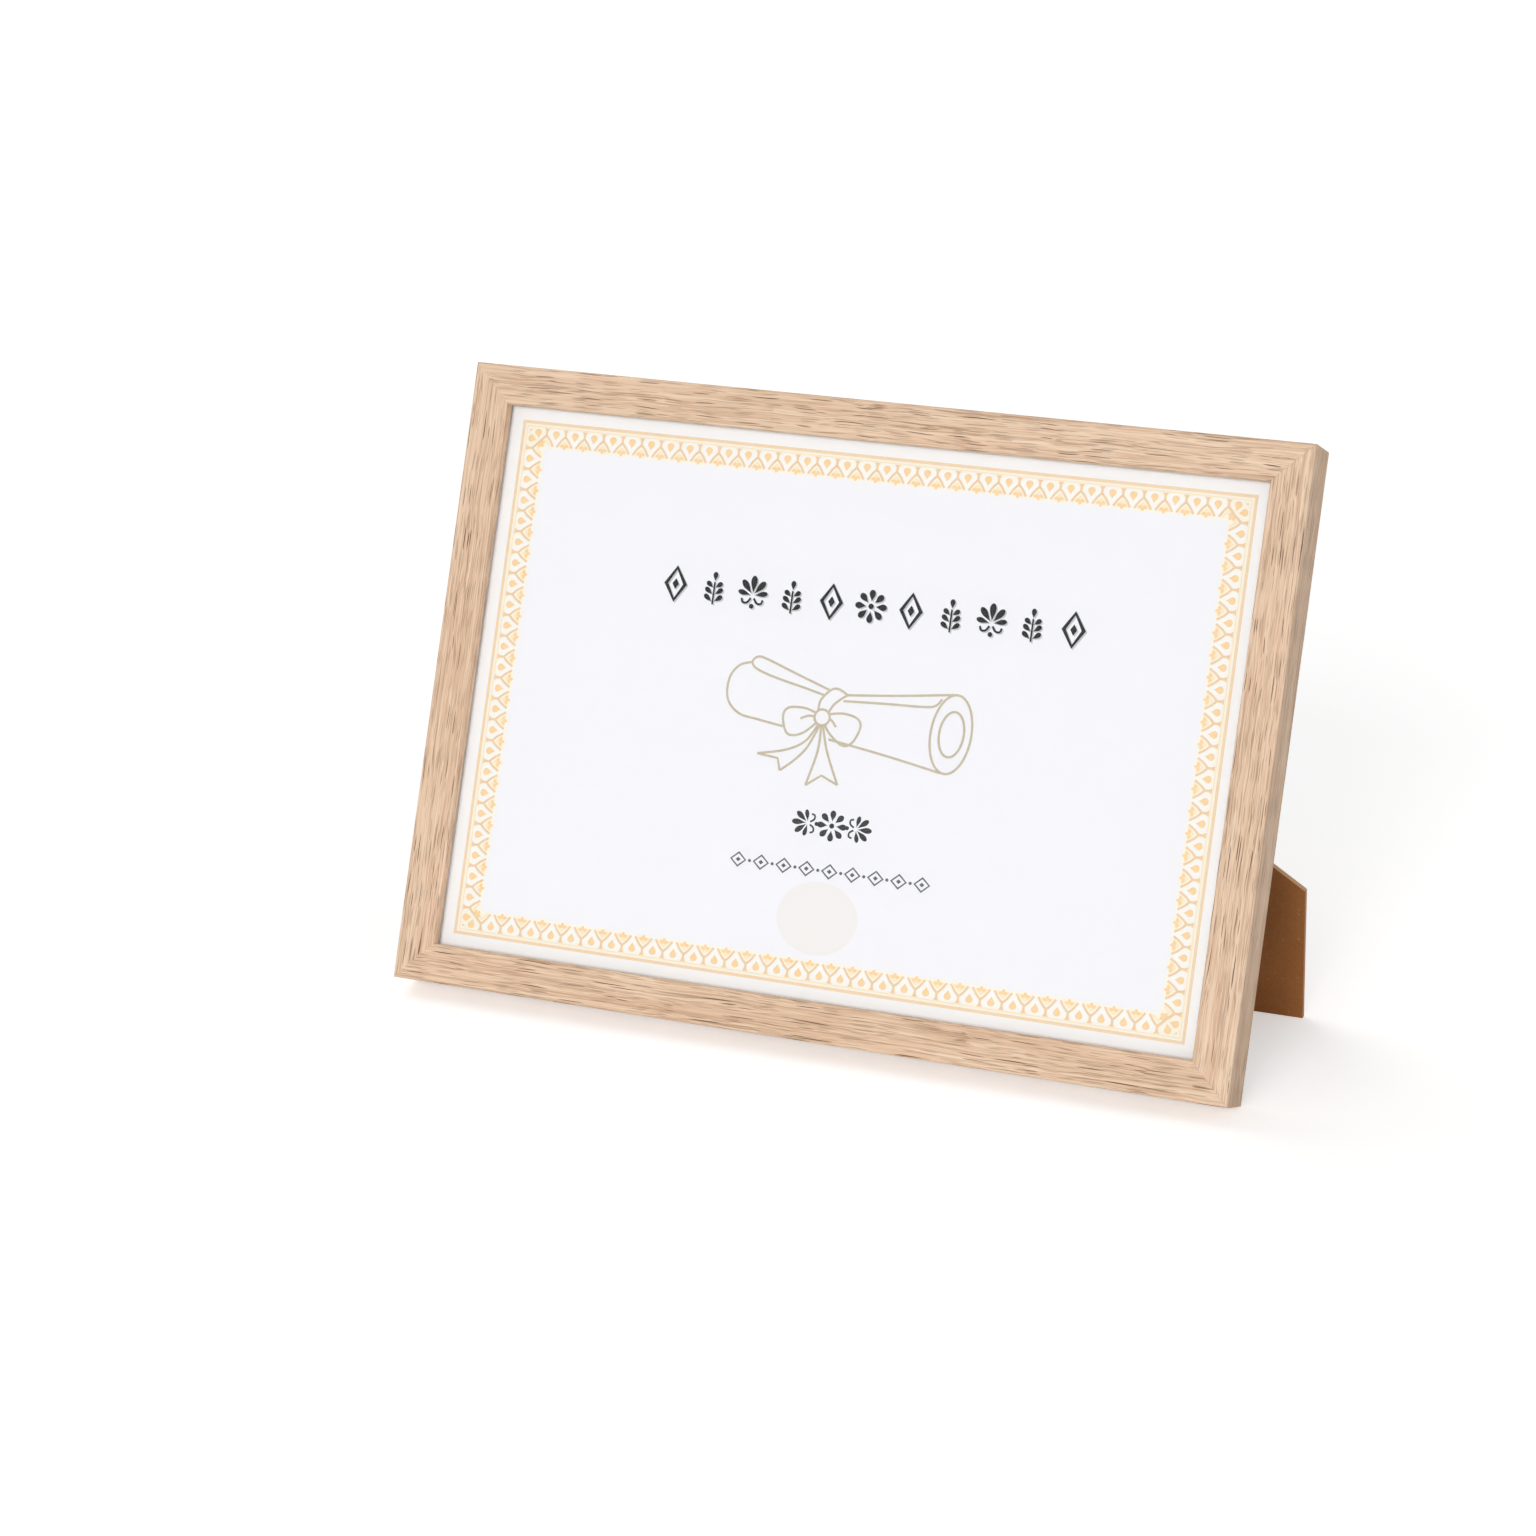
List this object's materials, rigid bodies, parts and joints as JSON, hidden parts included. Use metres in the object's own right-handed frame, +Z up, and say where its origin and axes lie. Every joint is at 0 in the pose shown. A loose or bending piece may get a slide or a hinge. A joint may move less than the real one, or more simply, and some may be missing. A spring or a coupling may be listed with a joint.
{
  "type": "certificate frame",
  "caption": "Landscape A4 certificate frame with mitred oak rails, clear glazing, a bordered sheet, turn buttons, keyhole hangers and a folding hardboard leg.",
  "frame": {"origin": "bottom centre of the whole box with the leg open, on the surface that the frame stands on", "axes": "+X across the frame to the right as seen from the front, +Y from the front to the back, +Z up; the rails' plane leans back by 18 degrees"},
  "size_m": [0.319, 0.1226, 0.2277],
  "materials": {
    "oak": "pale straight grained oak, matt lacquer",
    "glazing": "clear polished sheet",
    "certificate_paper": "heavy white paper, printed in gold and grey",
    "mount_board": "smooth white board",
    "foam_board": "paper faced foam board",
    "packing_card": "grey brown double wall card",
    "hardboard": "brown hardboard, smooth side out",
    "leg_hardboard": "brown hardboard, smooth both sides",
    "hinge_steel": "bright zinc plated steel",
    "rivet_steel": "bright plated steel",
    "zinc_steel": "zinc plated pressed steel",
    "screw_steel": "bright zinc plated steel"
  },
  "bodies": {
    "frame": {"rail_top": "oak", "rail_bottom": "oak", "rail_left": "oak", "rail_right": "oak", "corner_nails": "zinc_steel", "glazing": "glazing", "certificate_sheet": "certificate_paper", "mount_board": "mount_board", "foam_board": "foam_board", "packing_card": "packing_card", "back_board": "hardboard", "hinge_board_leaf": "hinge_steel", "hinge_pin": "hinge_steel", "board_rivets": "rivet_steel", "turn_button_screws": "screw_steel", "hanger_plate_top": "zinc_steel", "hanger_plate_side": "zinc_steel", "hanger_screws": "screw_steel"},
    "leg": {"leg": "leg_hardboard", "hinge_leg_leaf": "hinge_steel", "leg_rivets": "rivet_steel"},
    "turn_button_top_1": {"turn_button_top_1": "zinc_steel"},
    "turn_button_top_2": {"turn_button_top_2": "zinc_steel"},
    "turn_button_bottom_1": {"turn_button_bottom_1": "zinc_steel"},
    "turn_button_bottom_2": {"turn_button_bottom_2": "zinc_steel"}
  },
  "joints": [
    {"name": "leg_fold", "type": "hinge", "parent": "frame", "child": "leg", "pos_m": [0, 0.01961, 0.17438], "axis": [-1, 0, 0], "range_deg": [0, 30]},
    {"name": "button_turn_top_1", "type": "hinge", "parent": "frame", "child": "turn_button_top_1", "pos_m": [-0.085, 0.03099, 0.21589], "axis": [0, 0.9511, -0.309], "range_deg": [-90, 90]},
    {"name": "button_turn_top_2", "type": "hinge", "parent": "frame", "child": "turn_button_top_2", "pos_m": [0.085, 0.03099, 0.21589], "axis": [0, 0.9511, -0.309], "range_deg": [-90, 90]},
    {"name": "button_turn_bottom_1", "type": "hinge", "parent": "frame", "child": "turn_button_bottom_1", "pos_m": [-0.085, -0.03761, 0.00475], "axis": [0, 0.9511, -0.309], "range_deg": [-90, 90]},
    {"name": "button_turn_bottom_2", "type": "hinge", "parent": "frame", "child": "turn_button_bottom_2", "pos_m": [0.085, -0.03761, 0.00475], "axis": [0, 0.9511, -0.309], "range_deg": [-90, 90]}
  ]
}
